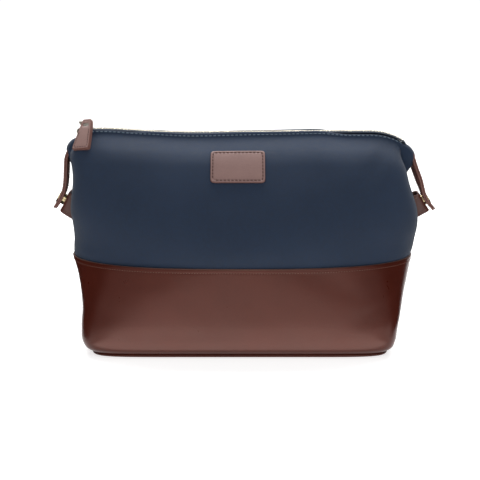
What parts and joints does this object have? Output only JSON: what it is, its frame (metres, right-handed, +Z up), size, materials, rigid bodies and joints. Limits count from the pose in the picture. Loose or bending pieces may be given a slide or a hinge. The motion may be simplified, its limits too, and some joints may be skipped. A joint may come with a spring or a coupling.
{
  "type": "shaving kit bag",
  "caption": "Soft shaving kit bag with a leather base, a fabric top that tapers to a ridge zip with a leather puller, and end wings whose snap straps close onto side loops.",
  "frame": {"origin": "middle of the flat underside", "axes": "+Z up, X along the zip with the closed slider at -X, the front with the label patch at -Y"},
  "size_m": [0.2984, 0.128, 0.1775],
  "materials": {
    "base_leather": "smooth dark reddish-brown leather, lightly glossy",
    "strap_leather": "smooth brown leather with paler cut edges",
    "puller_leather": "matt brown leather, worn paler",
    "patch_leather": "matt taupe leather, dark stitched edge",
    "shell_fabric": "fine navy plain weave with a soft sheen",
    "lining": "thin plain-weave lining",
    "zip_tape": "navy twill tape",
    "zip_metal": "pale aged brass",
    "slider_metal": "dark antique metal",
    "snap_brass": "polished brass",
    "board": "grey-brown fibre board"
  },
  "bodies": {
    "bag": {"base_wrap": "base_leather", "base_welt": "base_leather", "base_panel": "base_leather", "base_board": "board", "base_lining": "lining", "front_panel": "shell_fabric", "back_panel_left": "shell_fabric", "back_panel_right": "shell_fabric", "front_lining": "lining", "back_lining_left": "lining", "back_lining_right": "lining", "zip_tape_front": "zip_tape", "zip_tape_back_left": "zip_tape", "zip_tape_back_right": "zip_tape", "zip_teeth_front": "zip_metal", "zip_teeth_back_left": "zip_metal", "zip_teeth_back_right": "zip_metal", "zip_top_stops": "zip_metal", "zip_bottom_stop": "zip_metal", "label_patch": "patch_leather", "side_loop_left": "strap_leather", "side_loop_right": "strap_leather", "snap_stud_left": "snap_brass", "snap_stud_right": "snap_brass"},
    "back_lip": {"back_panel": "shell_fabric", "back_lining": "lining", "zip_tape_back": "zip_tape", "zip_teeth_back": "zip_metal"},
    "slider": {"zip_slider": "slider_metal"},
    "link": {"pull_link": "slider_metal"},
    "puller": {"puller_front_leather": "puller_leather", "puller_back_leather": "puller_leather"},
    "wing_left": {"wing_left": "shell_fabric"},
    "wing_right": {"wing_right": "shell_fabric"},
    "strap_left": {"strap_outer_left": "strap_leather", "strap_inner_left": "strap_leather", "snap_cap_left": "snap_brass", "snap_socket_left": "snap_brass"},
    "strap_right": {"strap_outer_right": "strap_leather", "strap_inner_right": "strap_leather", "snap_cap_right": "snap_brass", "snap_socket_right": "snap_brass"}
  },
  "joints": [
    {"name": "zip_slide", "type": "slide", "parent": "bag", "child": "slider", "axis": [1, 0, 0], "range_m": [0, 0.208]},
    {"name": "mouth_open", "type": "hinge", "parent": "bag", "child": "back_lip", "pos_m": [0, 0.064, 0.07], "axis": [-1, 0, 0], "range_deg": [0, 32]},
    {"name": "link_swing", "type": "hinge", "parent": "slider", "child": "link", "pos_m": [-0.1215, 0, 0.1718], "axis": [-1, 0, 0], "range_deg": [0, 90]},
    {"name": "puller_flip", "type": "hinge", "parent": "link", "child": "puller", "pos_m": [-0.1215, -0.00725, 0.17518], "axis": [-1, 0, 0], "range_deg": [0, 180]},
    {"name": "wing_left_lift", "type": "hinge", "parent": "bag", "child": "wing_left", "pos_m": [-0.132, 0, 0.163], "axis": [0, 1, 0], "range_deg": [0, 46]},
    {"name": "wing_right_lift", "type": "hinge", "parent": "bag", "child": "wing_right", "pos_m": [0.132, 0, 0.163], "axis": [0, -1, 0], "range_deg": [0, 46]},
    {"name": "strap_left_release", "type": "hinge", "parent": "wing_left", "child": "strap_left", "pos_m": [-0.1354, 0, 0.1475], "axis": [0, 1, 0], "range_deg": [0, 60]},
    {"name": "strap_right_release", "type": "hinge", "parent": "wing_right", "child": "strap_right", "pos_m": [0.1354, 0, 0.1475], "axis": [0, -1, 0], "range_deg": [0, 60]}
  ],
  "couplings": [
    {"joint": "mouth_open", "follows": "zip_slide", "rad_per_m": 2.68},
    {"joint": "wing_left_lift", "follows": "strap_left_release", "ratio": 0.75},
    {"joint": "wing_right_lift", "follows": "strap_right_release", "ratio": 0.75}
  ]
}
